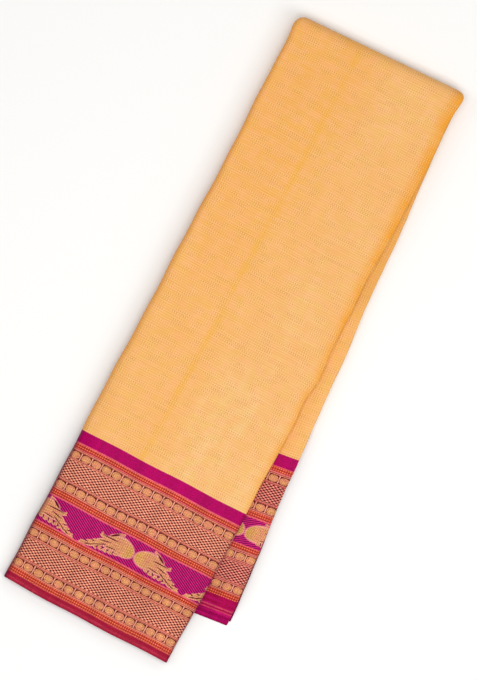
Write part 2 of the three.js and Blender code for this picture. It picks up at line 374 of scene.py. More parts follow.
# across and along at its start and at its end, half its width, and its height, below 0 for a trough
FRONT_CREASES = [
    (70.5, 12.0, 67.0, 458.0, 5.5, -0.35),
    (157.0, 30.0, 155.0, 190.0, 4.0, -0.45),
    (24.0, 40.0, 30.0, 230.0, 7.0, -0.4),
    (104.0, 30.0, 96.0, 260.0, 12.0, 0.5),
    (132.0, 220.0, 150.0, 455.0, 15.0, 0.7),
    (40.0, 250.0, 36.0, 450.0, 9.0, 0.4),
    (176.0, 60.0, 120.0, 118.0, 5.0, 0.35),
    (178.0, 250.0, 128.0, 330.0, 6.0, -0.3),
    (12.0, 330.0, 60.0, 400.0, 5.0, -0.25),
    (186.0, -10.0, 189.0, 660.0, 9.0, -1.0),
    (-4.0, -10.0, -3.0, 660.0, 6.0, -0.8),
    (96.0, 470.0, 104.0, 640.0, 10.0, -0.35),
    (150.0, 500.0, 140.0, 640.0, 9.0, 0.4),
    (34.0, 490.0, 40.0, 640.0, 9.0, 0.35),
]
BACK_CREASES = [
    (187.0, 120.0, 192.0, 262.0, 3.5, -0.7),
    (196.0, 200.0, 207.0, 372.0, 3.5, -0.5),
    (190.0, 250.0, 199.0, 300.0, 4.0, -0.6),
    (212.0, 410.0, 220.0, 560.0, 4.5, -0.5),
    (198.0, 420.0, 206.0, 572.0, 3.0, -0.35),
    (60.0, 60.0, 84.0, 420.0, 4.0, -0.5),
    (130.0, 80.0, 150.0, 380.0, 8.0, -0.4),
]


def lift(creases, across, along):
    """How far the creases lift a place: each by its height times a bell curve of its distance from
    the line, which fades over the last fifth of the line at both ends."""
    total = np.zeros(np.broadcast(across, along).shape)
    for x0, y0, x1, y1, half_width, height in creases:
        long = np.hypot(x1 - x0, y1 - y0)
        share = ((across - x0) * (x1 - x0) + (along - y0) * (y1 - y0)) / long**2
        away = ((across - x0) * (y1 - y0) - (along - y0) * (x1 - x0)) / long
        fade = smooth(share / 0.2) * smooth((1 - share) / 0.2)
        total += height * fade * np.exp(-((away / half_width) ** 2))
    return total * settled(along)


print("creases: %d on the front half, %d on the back half" % (len(FRONT_CREASES), len(BACK_CREASES)))


# %% Places on the front half, over the top and on the back half
WAVER = 0.3  # mm by which the rows of weave waver on the front half
SLIP = 2.6  # how far the sari's own end, layer 14, has slipped out near the back half's selvedge
SLIP_FROM, SLIP_OVER = 420.0, 100.0  # where that starts, and over how long it grows


def in_frame(across, along, up):
    """Turns the packet's terms into the frame's, in metres."""
    return np.stack([across - MIDDLE_ACROSS, MIDDLE_ALONG - along, up], -1) / 1000


def on_front(profile, stops):
    """Front half: the profile is drawn between the edges at each stop, the weave's slant moves
    each point along, its middle hangs and wavers a little, and the sag and the creases lift it to
    its height. A crease moves the lowest layer hardly at all."""
    stop = stops[:, None]
    left, right, slant, hang, ridden = read_edges(FRONT_EDGES, stop)
    left = left + ripple(stop)
    across = left + profile[:, 0] * (right - left) + profile[:, 1] - wander(profile, stop)
    share = np.clip((across - left) / (right - left), 0, 1)
    along = stop - ridden + slant * (right - across) + hang * np.sin(np.pi * share**0.75)
    along = along + WAVER * settled(stop) * np.sin(across / 12 + stop / 60)
    raised = lift(FRONT_CREASES, across, along) * profile[:, 2] / HALF
    up = front_underside(across, along) + profile[:, 2] + raised
    return in_frame(across, along, up), np.broadcast_to(FRONT_END - stop, across.shape)


def over_top(profile, shares):
    """Over the top: each point goes half way round a circle whose radius is its own height, and
    the outer layers are drawn in a little at the corners."""
    radius = profile[:, 2] + BETWEEN / 2
    degrees = 180 * shares[:, None]
    first, last = FRONT_EDGES[0], BACK_EDGES[0]
    left = first[1] + (last[1] - first[1]) * shares[:, None]
    right = first[2] + (last[2] - first[2]) * shares[:, None]
    drawn_left, drawn_right = read_edges(CROWN_EDGES, degrees)
    across = left + profile[:, 0] * (right - left) + profile[:, 1]
    across = across - wander(profile, np.full(degrees.shape, TOP))
    share = (across - left) / (right - left)
    drawn = drawn_left + share * (drawn_right - drawn_left)
    across = across + (drawn - across) * radius / (HALF + BETWEEN / 2)
    angle = np.radians(degrees)
    along = TOP + first[3] * (first[2] - across) - radius * np.sin(angle)
    up = HALF + BETWEEN / 2 + radius * np.cos(angle)
    return in_frame(across, along, up), FRONT_END - TOP + radius * angle


def sooner(up):
    """How much sooner a layer of the back half ends than its top layer."""
    lowest = height_of(SHEETS)
    return TURN_LENGTH * (up - lowest) / (height_of(1) - lowest)


def on_back(profile, stops):
    """Back half: stops are places on its top layer. Below the top fold the ground of a lower
    layer is that much shorter, and its border lies that much higher up. The profile is turned
    over, and from where the outermost layer ends its height falls to that of one sheet."""
    stop, up = stops[:, None], profile[:, 2]
    lag = sooner(up)
    ground = TOP + (stop - TOP) * (BACK_BORDER - lag - TOP) / (BACK_BORDER - TOP)
    row = np.where(stop <= BACK_BORDER, ground, stop - lag)
    left, right, slant = read_edges(BACK_EDGES, row)
    slipped = SLIP * smooth((row - SLIP_FROM) / SLIP_OVER) * (profile[:, 3] == FOLD_OF[14])
    across = left + profile[:, 0] * (right - left + slipped) + profile[:, 1] - wander(profile, row)
    along = row + slant * (right - across)
    fallen = np.clip((row - BACK_END + TURN_LENGTH) / TURN_LENGTH, 0, 1)
    height = HALF + (THICK - HALF) * fallen - up
    sunk = lift(BACK_CREASES, across, along) * height / HALF
    return in_frame(across, along, height + sunk), BACK_END - lag - row


print("the back half's outermost layer ends %.1f mm before its top one" % sooner(height_of(1)))

# %% [markdown]
# ## From a surface to a sheet of cloth
#
# A surface has no thickness, so each sheet is built as a closed shell: the same grid is moved out
# by half its thickness along its normals for one face, and in for the other, and four narrow
# strips close its rim. The shell gets two maps. One holds millimetres of cloth, which is what the
# weave is drawn in, so that coins stay round and ribs keep their spacing round every fold. The
# other lays the whole piece out in a square with a little room at the rim.

# %% Grids and shells
RIM = 0.01  # of the square map's side


def grid_quads(rows, columns):
    """The corners of every four-sided face of a grid, as numbers of its points."""
    number = np.arange(rows * columns).reshape(rows, columns)
    return np.stack([number[:-1, :-1], number[:-1, 1:], number[1:, 1:], number[1:, :-1]], -1).reshape(-1, 4)


def normals_of(points):
    """Unit normals of a grid of points: the cross product of its two directions."""
    normal = np.cross(np.gradient(points, axis=1), np.gradient(points, axis=0))
    return normal / np.linalg.norm(normal, axis=-1, keepdims=True)


def shell(points, cloth, square):
    """A closed shell round a grid of points. Gives its vertices, its faces and both maps, with
    one entry for each corner of each face."""
    rows, columns = points.shape[:2]
    half = normals_of(points) * THICK / 2000
    vertices = np.concatenate([(points + half).reshape(-1, 3), (points - half).reshape(-1, 3)])
    count = rows * columns
    face = grid_quads(rows, columns)
    number = np.arange(count).reshape(rows, columns)
    edges = [
        (number[0], (0, -RIM)),
        (number[::-1, 0], (-RIM, 0)),
        (number[-1, ::-1], (0, RIM)),
        (number[:, -1], (RIM, 0)),
    ]
    quads = [face, face[:, ::-1] + count]
    quads += [np.stack([e[:-1], e[:-1] + count, e[1:] + count, e[1:]], -1) for e, _ in edges]
    corners = np.concatenate(quads)
    within = corners % count
    flat = square.reshape(-1, 2)[within]
    start = 2 * len(face)
    for edge, out in edges:
        stop = start + len(edge) - 1
        flat[start:stop, 1:3] += out
        start = stop
    return vertices, corners, cloth.reshape(-1, 2)[within], flat


print("corners of a grid's faces, 2 by 3 points:", grid_quads(2, 3).tolist())


# %% Pieces of cloth
def sheet_piece(name, strips, finish):
    """One piece of cloth from one or more strips, each a grid of points with its cloth map. The
    strips share the square map, one above the other."""
    vertices, corners, cloth, square, smooth_faces = [], [], [], [], []
    before = 0
    for i, (points, woven) in enumerate(strips):
        rows, columns = points.shape[:2]
        along, across = np.meshgrid(np.linspace(0, 1, rows), np.linspace(0, 1, columns), indexing="ij")
        place = RIM + (1 - 2 * RIM) * np.stack([across, along], -1)
        place = (place + (0, i)) / (1, len(strips))
        made = shell(points, woven / 1000, place)
        vertices.append(made[0])
        corners.append(made[1] + before)
        cloth.append(made[2])
        square.append(made[3])
        smooth_faces.append(np.arange(len(made[1])) < 2 * (rows - 1) * (columns - 1))
        before += len(made[0])
    mesh = bpy.data.meshes.new(name)
    mesh.from_pydata(np.concatenate(vertices).tolist(), [], np.concatenate(corners).tolist())
    for title, values in (("cloth", cloth), ("OFBake", square)):
        layer = mesh.uv_layers.new(name=title)
        layer.data.foreach_set("uv", np.concatenate(values).astype(np.float32).ravel())
    mesh.polygons.foreach_set("use_smooth", np.concatenate(smooth_faces))
    mesh.materials.append(finish)
    mesh.validate()
    piece = bpy.data.objects.new(name, mesh)
    bpy.context.scene.collection.objects.link(piece)
    print(name, len(mesh.vertices), "vertices,", 2 * len(mesh.polygons), "triangles")
    return piece


def strip(profile, stops, place, taken=0.0):
    """A grid of points and its cloth map. Across the packet the map counts the cloth that the
    profile has taken, backwards, so that it reads from left to right on the front's face."""
    points, from_selvedge = place(profile, stops)
    used = taken - length_along(profile)
    woven = np.stack([np.broadcast_to(used, from_selvedge.shape), from_selvedge], -1)
    return points, woven


print("the outer leaf takes %.1f mm of the sari's length" % length_along(outer_leaf)[-1])

# %% [markdown]
# ## Light and floor
#
# Silk shows its folds by how its tone falls off as it turns away, so most of the light comes from
# one wide soft box high over the packet. A second one stands at its right, so the left fold falls
# off darker. Two weak ones and an even fill lighten the shadows. The floor is plain and pale.

# %% Colours and nodes
def linear(hex_colour):
    """An sRGB hex colour as linear red, green, blue and full opacity."""
    parts = np.array([int(hex_colour[i:i + 2], 16) for i in (1, 3, 5)]) / 255
    low = parts / 12.92
    return (*np.where(parts <= 0.04045, low, ((parts + 0.055) / 1.055) ** 2.4).tolist(), 1.0)


def add(tree, kind, *values, sockets=(), **settings):
    """Adds a node with these settings. Its inputs are filled in order by the values, or by name
    or number by the sockets: an output is linked, and anything else is set. Gives its first output."""
    made = tree.nodes.new("ShaderNode" + kind)
    for name, value in settings.items():
        setattr(made, name, value)
    for key, value in [*enumerate(values), *dict(sockets).items()]:
        if isinstance(value, bpy.types.NodeSocket):
            tree.links.new(value, made.inputs[key])
        else:
            made.inputs[key].default_value = value
    return made.outputs[0] if made.outputs else made


def new_material(name):
    """An empty node material."""
    finish = bpy.data.materials.new(name)
    finish.use_nodes = True
    finish.node_tree.nodes.clear()
    return finish


print("mid grey in linear light: %.3f" % linear("#808080")[0])


# %% Lights
def soft_box(name, place, aim_degrees, size, watts):
    """A square area light, turned from straight down by these angles about X and Y."""
    lamp = bpy.data.objects.new(name, bpy.data.lights.new(name, "AREA"))
    lamp.data.size, lamp.data.energy = size, watts
    lamp.location = place
    lamp.rotation_euler = [math.radians(a) for a in (*aim_degrees, 0)]
    lamp.visible_camera = False
    bpy.context.scene.collection.objects.link(lamp)


# name, place in metres, turns about X and Y in degrees, side in metres, watts
for lamp in (
    ("overhead", (0.1, -0.3, 2.4), (-7, -3), 1.6, 31.0),
    ("from_top", (0.3, 1.5, 1.9), (-38, 0), 1.2, 6.5),
    ("from_left", (-1.5, -0.2, 1.9), (0, -38), 1.2, 6.0),
    ("from_right", (1.5, -0.4, 1.9), (0, 38), 1.2, 16.0),
):
    soft_box(*lamp)

world = bpy.data.worlds.new("studio")
world.use_nodes = True
even_fill = world.node_tree.nodes["Background"].inputs
even_fill["Color"].default_value = (1, 1, 1, 1)
even_fill["Strength"].default_value = 0.347
bpy.context.scene.world = world
bpy.context.scene.view_settings.view_transform = "Standard"
print("lamps:", [lamp.name for lamp in bpy.data.lights])

# %% Floor
# Matt paper scatters light evenly, so the packet's soft shadow is all that shows on it.
FLOOR_REACH = 3.0  # metres from the middle to each side

paper = new_material("matt_white_paper")
tree = paper.node_tree
shine = add(tree, "BsdfPrincipled", sockets={"Base Color": linear("#f3f2f0"), "Roughness": 0.9})
add(tree, "OutputMaterial", shine)
square = np.array([(-1, -1), (1, -1), (1, 1), (-1, 1)]) * FLOOR_REACH
corners = np.column_stack([square, np.full(4, -FLOOR_GAP / 1000)])
floor_mesh = bpy.data.meshes.new("floor")
floor_mesh.from_pydata(corners.tolist(), [], [(0, 1, 2, 3)])
floor_mesh.materials.append(paper)
floor = bpy.data.objects.new("floor", floor_mesh)
bpy.context.scene.collection.objects.link(floor)
print("floor %.1f m square, %.1f mm under the lowest layer" % (2 * FLOOR_REACH, FLOOR_GAP))

# %% [markdown]
# ## The ground: apricot silk
#
# The ground is a plain weave of fine silk, a warm apricot with a quiet sheen. Every few threads
# the weft is a little heavier, which gives fine ribs from selvedge to selvedge. Slubs in the warp
# cross them here and there, and streaks of weft from another batch of yarn are a shade deeper.
# All of it is drawn in cloth millimetres, so it follows the cloth round its folds. An image
# texture would stretch there, and would show its repeat.

# %% Waves and patches in cloth millimetres
RIB = 2.4  # mm from rib to rib: real ribs lie closer, and are drawn as coarse as they need to show
THREAD_HEIGHT = 0.0002  # metres


def cloth_millimetres(tree):
    """Cloth coordinates in millimetres: along the sari, and in from its selvedge."""
    place = add(tree, "UVMap", uv_map="cloth")
    scaled = add(tree, "VectorMath", place, sockets={"Scale": 1000.0}, operation="SCALE")
    along_sari = add(tree, "SeparateXYZ", scaled)
    return along_sari, along_sari.node.outputs[1], scaled


def wave(tree, value, length, start=0.0):
    """A cosine wave along a value, from -1 to 1, that is highest at start."""
    moved = add(tree, "Math", value, -start, operation="ADD")
    turned = add(tree, "Math", moved, 2 * math.pi / length, operation="MULTIPLY")
    return add(tree, "Math", turned, operation="COSINE")


def patches(tree, place, wide, high, none=0.4, full=0.6):
    """Soft uneven patches, about this many millimetres along the sari and in from the selvedge:
    0 where the noise is below none, 1 where it is above full."""
    stretched = add(tree, "Mapping", place, sockets={"Scale": (1 / wide, 1 / high, 1.0)})
    noise = add(tree, "TexNoise", sockets={"Vector": stretched, "Scale": 1.0, "Detail": 2.0})
    return add(tree, "MapRange", noise, none, full, 0.0, 1.0)


def product(tree, *shares):
    """The share of a place that several things have in common: all of them multiplied."""
    common, *others = shares
    for share in others:
        common = add(tree, "Math", common, share, operation="MULTIPLY")
    return common


def lay(tree, over, shade, *shares):
    """Lays a colour over the rest, by the product of these shares."""
    return add(tree, "MixRGB", product(tree, *shares), over, linear(shade))


def silk_shader(tree, colour, height, depth):
    """The finish of all the silk: soft, a little glossy, with its threads as bump."""
    bump = add(tree, "Bump", sockets={"Strength": depth, "Distance": THREAD_HEIGHT, "Height": height})
    silk = add(tree, "BsdfPrincipled", sockets={
        "Base Color": colour,
        "Roughness": 0.42,
        "IOR": 1.5,
        "Specular IOR Level": 0.03,
        "Normal": bump,
    })
    add(tree, "OutputMaterial", silk)


print("ribs to a hand's width of 80 mm: %d" % (80 / RIB))

# %% Apricot silk
# The pressed mark, along whose crease shade is painted, in cloth millimetres: how far along the
# sari it runs at the selvedge, how much further for each millimetre in from there, and half its width.
MARK_AT, MARK_SLANT, MARK_HALF = 65.0, 0.0085, 5.5
# Where the face starts to turn into its right fold and its painted shade begins, where it has turned, and
# the same slant.
FOLD_FROM, FOLD_TO, FOLD_SLANT = 177.5, 191.0, -0.018
# Where the cloth starts to go over the top, in from its selvedge, and where it has gone over.
CROWN_FROM, CROWN_TO = FRONT_END - TOP, FRONT_END - TOP + TURN_LENGTH


def apricot_silk(name, is_front=False, is_strip=False):
    """Plain silk: a warm colour, paler towards the border and away from the left third, with a soft
    mottle and streaks along the weft. Off the front face the base is a little lighter and yellower:
    painted light that offsets the shadow of the front half on the back strip. Its ribs come and go in
    patches, as do the slubs and the small check that they make with the warp, and all are deeper on
    top and paler between. On the front half the silk has painted shade along the crease of the pressed
    mark and where the face turns away into its folds, and this fades over the top. The strip of the
    back half that shows has a painted shadow where it comes out from under the front half."""
    finish = new_material(name)
    tree = finish.node_tree
    along_sari, from_selvedge, place = cloth_millimetres(tree)

    def soft_step(value, low, high, first=0.0, last=1.0):
        """First below low, last above high, and smooth between."""
        return add(tree, "MapRange", value, low, high, first, last, interpolation_type="SMOOTHSTEP")

    def beside(line, slant):
        """How far along the sari a place lies past a line that slants by this much."""
        line = add(tree, "Math", from_selvedge, slant, line, operation="MULTIPLY_ADD")
        return add(tree, "Math", along_sari, line, operation="SUBTRACT")

    side = soft_step(along_sari, 55.0, 130.0, 0.1, 0.66)
    pale = add(tree, "Math", side, soft_step(from_selvedge, 160.0, 560.0, 0.4, 0.0), operation="ADD")
    front = soft_step(from_selvedge, CROWN_TO, CROWN_FROM) if is_front else 0.0
    # Painted light: off the front face the base is lighter and yellower, to offset the front half's shadow
    # on the back strip.
    base_with_painted_light = add(tree, "MixRGB", front, linear("#edb551"), linear("#f0ac55"))
    colour = add(tree, "MixRGB", pale, base_with_painted_light, linear("#edc181"))
    # size along the sari and in from the selvedge in mm, how strong, and colour
    for wide, high, strength, shade in (
        (13.0, 9.0, 0.42, "#f7b388"),  # mottle
        (11.0, 15.0, 0.3, "#e6b25a"),
        (12.0, 260.0, 0.15, "#e8a058"),  # streaks along the weft
        (45.0, 70.0, 0.3, "#efaa66"),  # broad clouds
    ):
        colour = lay(tree, colour, shade, patches(tree, place, wide, high), strength)
    if is_front:
        # Painted shade along the crease of the pressed mark, uneven, and fading over the top.
        away = add(tree, "Math", beside(MARK_AT, MARK_SLANT), operation="ABSOLUTE")
        crease_shade = soft_step(away, MARK_HALF, 0.0)
        crease_shade_uneven = add(tree, "MapRange", patches(tree, place, 9.0, 40.0, 0.3, 0.6), 0.0, 1.0, 0.2, 0.6)
        # Painted shade where the face turns away into its right and left folds.
        right_fold_shade = soft_step(beside(0.0, FOLD_SLANT), FOLD_FROM, FOLD_TO)
        fold_shade_uneven = add(tree, "MapRange", patches(tree, place, 12.0, 25.0, 0.3, 0.6), 0.0, 1.0, 0.65, 1.0)
        left_fold_shade = soft_step(along_sari, 7.0, -1.0, 0.0, 0.5)
        colour = lay(tree, colour, "#eaac40", crease_shade, crease_shade_uneven, front)
        colour = lay(tree, colour, "#ea9a2c", right_fold_shade, fold_shade_uneven, front)
        colour = lay(tree, colour, "#ec983e", left_fold_shade, front)
    if is_strip:
        # Painted shadow where the strip comes out from under the front half.
        colour = lay(tree, colour, "#d0963c", soft_step(from_selvedge, 325.0, 365.0), 0.36)
    ribs = wave(tree, along_sari, RIB)
    slubs = product(tree, wave(tree, from_selvedge, RIB), patches(tree, place, 30.0, 2.0, 0.3, 0.7))
    lines = add(tree, "Math", ribs, patches(tree, place, 14.0, 10.0), slubs, operation="MULTIPLY_ADD")
    check = product(tree, ribs, wave(tree, from_selvedge, 1.4 * RIB),
                    patches(tree, place, 14.0, 10.0, 0.48, 0.62))
    threads = add(tree, "Math", lines, 0.55, check, operation="MULTIPLY_ADD")
    colour = lay(tree, colour, "#cc8c40", add(tree, "MapRange", threads, -0.3, 0.8, 0.0, 0.6))
    colour = lay(tree, colour, "#ffd698", add(tree, "MapRange", threads, -0.1, -0.8, 0.0, 0.36))
    silk_shader(tree, colour, threads, 0.7)
    return finish


front_silk = apricot_silk("apricot_silk_front_face", is_front=True)
strip_silk = apricot_silk("apricot_silk_back_strip", is_strip=True)
ground_silk = apricot_silk("apricot_silk_plain_weave")
for finish in (front_silk, strip_silk, ground_silk):
    print(finish.name, len(finish.node_tree.nodes), "nodes")

# %% [markdown]
# ## The border: brocaded silk
#
# The border is woven in magenta, orange and crimson silk, with dull gold thread that catches little
# light. Its bands are read from a chart, as a weaver reads them, that starts at the selvedge. The
# second column of the chart says which pattern a band carries, and the third its colour. Each
# pattern is a formula in cloth millimetres: coins in rows, a lattice of small holes, lines, ribs,
# and facing pairs of birds on slanting stripes. Modelled thread by thread, the border would be
# too heavy to render, and its threads are too fine to see.

# %% The bands, from the selvedge in
CRIMSON, ORANGE, MAGENTA = "#a01434", "#dc5038", "#b4005e"
TAN, PINK, MAROON = "#d8705a", "#e6606c", "#60141a"
SHADED_TAN = "#c85852"  # takes the place of tan in the other border: darker and redder, painted shade, as that border lies lower

FRONT_CHART = [
    (0.0, "selvedge", CRIMSON),
    (7.6, "plain", "#c6514c"),
    (8.3, "ribs", ORANGE),
    (13.7, "lines", TAN),
    (16.2, "coins", MAROON),
    (23.7, "lines", TAN),
    (26.8, "lattice", TAN),
    (46.2, "lines", TAN),
    (50.0, "coins", MAROON),
    (57.6, "lines", TAN),
    (60.6, "ribs", ORANGE),
    (65.0, "plain", PINK),
    (66.5, "birds", MAGENTA),
    (94.8, "plain", PINK),
    (96.6, "ribs", ORANGE),
    (102.6, "lines", TAN),
    (105.0, "coins", MAROON),
    (112.6, "lines", TAN),
    (115.6, "lattice", TAN),
    (135.6, "lines", TAN),
    (138.2, "coins", MAROON),
    (145.8, "lines", TAN),
    (148.0, "plain", PINK),
    (148.8, "ribs", ORANGE),
    (153.7, "plain", PINK),
    (155.0, "plain", MAGENTA),
    (167.6, "plain", "#ce6a6e"),
]
# The other border has a wider selvedge, and its bands are beaten a little closer.
WIDE_SELVEDGE, CLOSER = 25.6, 0.9695
BACK_CHART = [
    (0.0, "selvedge", "#9c0650"),
    (10.0, "plain", "#d03c60"),
    (11.4, "selvedge", "#a80c46"),
    (12.8, "plain", "#d44864"),
    (14.6, "selvedge", "#a80c46"),
] + [
    (WIDE_SELVEDGE + CLOSER * (start - FRONT_CHART[2][0]), kind, SHADED_TAN if shade == TAN else shade)
    for start, kind, shade in FRONT_CHART[2:]
]
PATTERNS = ("lines", "coins", "lattice", "birds", "ribs", "selvedge")
CHART_WIDTH = 200.0  # mm that the ramp of colours spans, a little more than the widest border


def read_chart(tree, from_selvedge, chart, colour_of):
    """A ramp with hard steps that gives each band of the chart its colour."""
    share = add(tree, "Math", from_selvedge, 1 / CHART_WIDTH, operation="MULTIPLY")
    steps = add(tree, "ValToRGB", share).node
    steps.color_ramp.interpolation = "CONSTANT"
    stops = steps.color_ramp.elements
    stops[0].position, stops[0].color = 0.0, colour_of(*chart[0][1:])
    stops.remove(stops[1])
    for start, kind, colour in chart[1:]:
        stops.new(start / CHART_WIDTH).color = colour_of(kind, colour)
    return steps.outputs[0]


def pattern_masks(tree, from_selvedge, chart):
    """For each pattern, 1 on the bands that carry it and 0 elsewhere."""
    masks = {}
    for three in (PATTERNS[:3], PATTERNS[3:]):
        flags = read_chart(tree, from_selvedge, chart,
                           lambda kind, _: (*[float(kind == name) for name in three], 1.0))
        parts = add(tree, "SeparateColor", flags).node
        masks.update(zip(three, parts.outputs))
    return masks


print("bands: %d in the front half's border, %d in the other" % (len(FRONT_CHART), len(BACK_CHART)))

# %% Coins
COIN_PITCH = 11.4  # mm from coin to coin along the sari
COIN_SIZE = 9.3, 7.1  # mm along the sari and in from the selvedge


def middles(chart, pattern):
    """The middle of each band that carries a pattern, in from the selvedge."""
    return [(a + b) / 2 for (a, kind, _), (b, _, _) in zip(chart, chart[1:]) if kind == pattern]


def coin_rows(tree, along_sari, from_selvedge, chart, start):
    """How far a place lies from the nearest coin's middle, 1 at its rim, and how many millimetres
    that is along the sari. A coin is a rounded oval: the sum of both distances as shares of its
    half sizes, each to the power 2.4."""
    away = None
    for row in middles(chart, "coins"):
        gap = add(tree, "Math", from_selvedge, row, operation="SUBTRACT")
        gap = add(tree, "Math", gap, operation="ABSOLUTE")
        away = gap if away is None else add(tree, "Math", away, gap, operation="MINIMUM")
    moved = add(tree, "Math", along_sari, start, operation="SUBTRACT")
    aside = add(tree, "Math", moved, COIN_PITCH / 2, operation="PINGPONG")
    powers = []
    for gap, size in zip((aside, away), COIN_SIZE):
        share = add(tree, "Math", gap, size / 2, operation="DIVIDE")
        powers.append(add(tree, "Math", share, 2.4, operation="POWER"))
    return add(tree, "Math", *powers, operation="ADD"), aside


print("rows of coins lie", middles(FRONT_CHART, "coins"), "mm in")

# %% Birds
BIRD_REPEAT = 116.5  # mm along the sari from one pair to the next

# The bird, as ovals and leaves: middle and half sizes in mm, from the line between the two birds of
# a pair and from the middle of the band, and its tilt in degrees.
BIRD = [
    ("oval", 15.6, 1.4, 14.4, 8.6, 12),  # body
    ("oval", 24.5, 0.0, 10.5, 6.6, -8),  # rump
    ("leaf", 23.6, 10.6, 7.4, 0.9, -30),  # crest, and its curls
    ("oval", 18.0, 12.5, 1.6, 1.0, -20),
    ("oval", 28.6, 6.9, 1.4, 1.2, 0),
    ("leaf", 31.5, 2.6, 8.0, 2.2, 4),  # wing, and its upturned tip
    ("oval", 36.2, 3.6, 2.2, 1.2, 40),
    ("oval", 37.9, 5.2, 0.9, 1.3, 0),
    ("leaf", 36.0, -4.2, 9.0, 3.8, -32),  # tail, in three feathers
    ("leaf", 43.0, -8.4, 8.5, 3.2, -28),
    ("leaf", 49.5, -11.4, 7.0, 2.0, -18),
    ("oval", 40.8, -4.2, 2.4, 1.0, 6),  # and their curls
    ("oval", 46.4, -7.6, 2.2, 0.9, 6),
    ("oval", 51.8, -10.5, 2.0, 0.8, 6),
    ("oval", 38.4, -10.6, 2.6, 1.0, 30),
    ("oval", 33.4, -9.4, 2.8, 1.5, 24),  # feathers of the belly
    ("oval", 27.8, -9.4, 2.6, 1.7, 12),
    ("oval", 22.2, -8.9, 2.6, 1.7, 0),
    ("oval", 16.8, -8.0, 2.4, 1.6, -10),
]
# Its dark marks, in the same columns.
MARKS = [
    ("leaf", 27.5, 4.2, 9.0, 0.6, 0),  # the line of the wing
    ("leaf", 25.4, 8.9, 5.5, 1.0, -33),  # the gap under the crest
    ("leaf", 31.0, -0.6, 6.5, 0.5, -12),  # the lines of the feathers
    ("leaf", 24.0, -4.6, 6.5, 0.5, -4),
    ("leaf", 33.5, -5.2, 5.5, 0.5, -26),
    ("leaf", 40.5, -8.6, 4.5, 0.5, -30),
    ("leaf", 46.5, -11.0, 3.5, 0.5, -24),
    ("oval", 42.2, -5.5, 1.6, 0.5, 0),  # the notches over the tail
    ("oval", 47.8, -8.8, 1.4, 0.5, 0),
    ("oval", 30.8, -8.0, 0.5, 1.8, 40),  # and between the belly's feathers
    ("oval", 25.2, -8.2, 0.5, 1.8, 30),
    ("oval", 19.6, -7.6, 0.5, 1.6, 20),
    ("oval", 36.4, -8.8, 0.5, 1.6, 50),
]


def shape_field(tree, place, kind, x, y, half_long, half_wide, tilt):
    """How far a place lies from a shape's middle: 1 is its rim. An oval's is the length of the
    place in its own axes, and a leaf's the square of its long share plus its wide share."""
    own = add(tree, "Mapping", place, vector_type="TEXTURE", sockets={
        "Location": (x, y, 0),
        "Rotation": (0, 0, math.radians(tilt)),
        "Scale": (half_long, half_wide, 1),
    })
    if kind == "oval":
        return add(tree, "VectorMath", own, operation="LENGTH").node.outputs[1]
    long_share = add(tree, "SeparateXYZ", own)
    wide_share = add(tree, "Math", long_share.node.outputs[1], operation="ABSOLUTE")
    return add(tree, "Math", long_share, long_share, wide_share, operation="MULTIPLY_ADD")


def nearest_of(tree, place, shapes):
    """How far a place lies from the nearest of several shapes."""
    nearest = None
    for shape in shapes:
        away = shape_field(tree, place, *shape)
        nearest = away if nearest is None else add(tree, "Math", nearest, away, operation="MINIMUM")
    return nearest


def birds(tree, along_sari, from_selvedge, chart, start):
    """How far a place lies from the nearest bird, 1 at its outline, the same for its dark marks,
    and how many millimetres it lies from the pair's middle. The birds face each other in pairs,
    so one is drawn and the distance from the middle is folded back at each half repeat."""
    [middle] = middles(chart, "birds")
    moved = add(tree, "Math", along_sari, start, operation="SUBTRACT")
    aside = add(tree, "Math", moved, BIRD_REPEAT / 2, operation="PINGPONG")
    above = add(tree, "Math", from_selvedge, middle, operation="SUBTRACT")
    place = add(tree, "CombineXYZ", aside, above, 0.0)
    return nearest_of(tree, place, BIRD), nearest_of(tree, place, MARKS), aside


print("a bird is %d shapes and %d marks" % (len(BIRD), len(MARKS)))

# %% Brocaded silk
THREAD_PITCH = 2.39  # mm between the small figures along the sari, as the loom repeats them
LATTICE_PITCH = 3.12  # and in from the selvedge
RIB_PITCH = 2.5  # of the orange bands
SHOT_PITCH, SHOT_START = 6.0, 3.0  # of the selvedge, in which two colours cross
STRIPE_PITCH, STRIPE_SLOPE = 2.35, 0.56  # of the stripes under the birds


